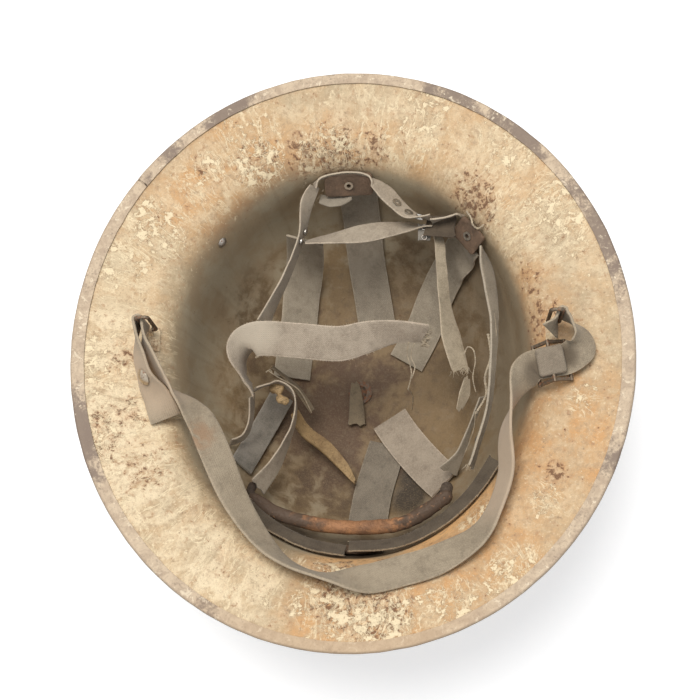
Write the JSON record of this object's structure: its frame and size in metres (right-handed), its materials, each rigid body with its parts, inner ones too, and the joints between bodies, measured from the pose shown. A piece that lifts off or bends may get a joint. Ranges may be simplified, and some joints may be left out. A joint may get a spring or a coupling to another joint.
{
  "type": "steel helmet",
  "caption": "Wide-brimmed pressed steel helmet lying on its crown, with a rolled rim binding, a hinged webbing chin strap with a slide buckle and a torn webbing and leather liner.",
  "frame": {"origin": "centre of the crown rivet's flat head, on the surface that the helmet lies on", "axes": "+Z out of the opening of the bowl, +Y towards the front of the helmet, +X to the right of the opening seen from above"},
  "size_m": [0.2894, 0.3085, 0.1246],
  "materials": {
    "shell_paint": "old matte paint with rust and chips",
    "rim_steel": "worn paint over rust",
    "rivet_metal": "dull",
    "rusty_steel": "rusty",
    "wire": "dull and stained",
    "chin_webbing": "faded woven webbing",
    "grey_webbing": "faded woven webbing",
    "dark_webbing": "soiled woven webbing",
    "brown_leather": "dry and cracked",
    "tan_leather": "dry",
    "eyelet_metal": "dull"
  },
  "bodies": {
    "helmet": {"shell": "shell_paint", "rim_binding": "rim_steel", "crown_rivet": "rivet_metal", "wall_rivet": "rivet_metal", "lug_left": "rusty_steel", "lug_right": "rusty_steel", "lug_rivet_left": "rivet_metal", "lug_rivet_right": "rivet_metal", "front_tab": "brown_leather", "front_eyelet": "eyelet_metal", "right_tab": "brown_leather", "right_eyelet": "eyelet_metal", "crown_strap_a": "grey_webbing", "crown_strap_b": "dark_webbing", "crown_strap_c": "grey_webbing", "crown_strap_d": "grey_webbing", "crown_strap_e": "grey_webbing", "crown_strap_f": "dark_webbing", "folded_end": "dark_webbing", "left_band": "grey_webbing", "left_eyelets": "eyelet_metal", "cross_twist": "grey_webbing", "eyelet_tape": "grey_webbing", "tape_eyelets": "eyelet_metal", "corner_tape": "grey_webbing", "corner_thread": "grey_webbing", "right_twist": "grey_webbing", "side_strap": "grey_webbing", "side_strap_rivet": "rivet_metal", "torn_strap": "grey_webbing", "knot_strap": "grey_webbing", "edge_tape": "grey_webbing", "knot": "tan_leather", "narrow_tail": "dark_webbing", "leather_thong": "tan_leather", "sweatband": "brown_leather", "under_band": "brown_leather", "outer_band_left": "brown_leather", "outer_band_right": "brown_leather", "seam_lace": "tan_leather", "loose_thread": "grey_webbing"},
    "strap": {"bail_left": "wire", "bail_right": "wire", "chin_strap": "chin_webbing", "loop_rivet": "rivet_metal"},
    "buckle": {"slide_frame": "rusty_steel", "slide_pad": "chin_webbing"}
  },
  "joints": [
    {"name": "strap_swing", "type": "hinge", "parent": "helmet", "child": "strap", "pos_m": [0, 0.011, 0.10242], "axis": [-1, 0, 0], "range_deg": [0, 90]},
    {"name": "buckle_slide", "type": "slide", "parent": "strap", "child": "buckle", "axis": [0.9706, 0.1423, 0.1941], "range_m": [-0.0015, 0.001]}
  ]
}
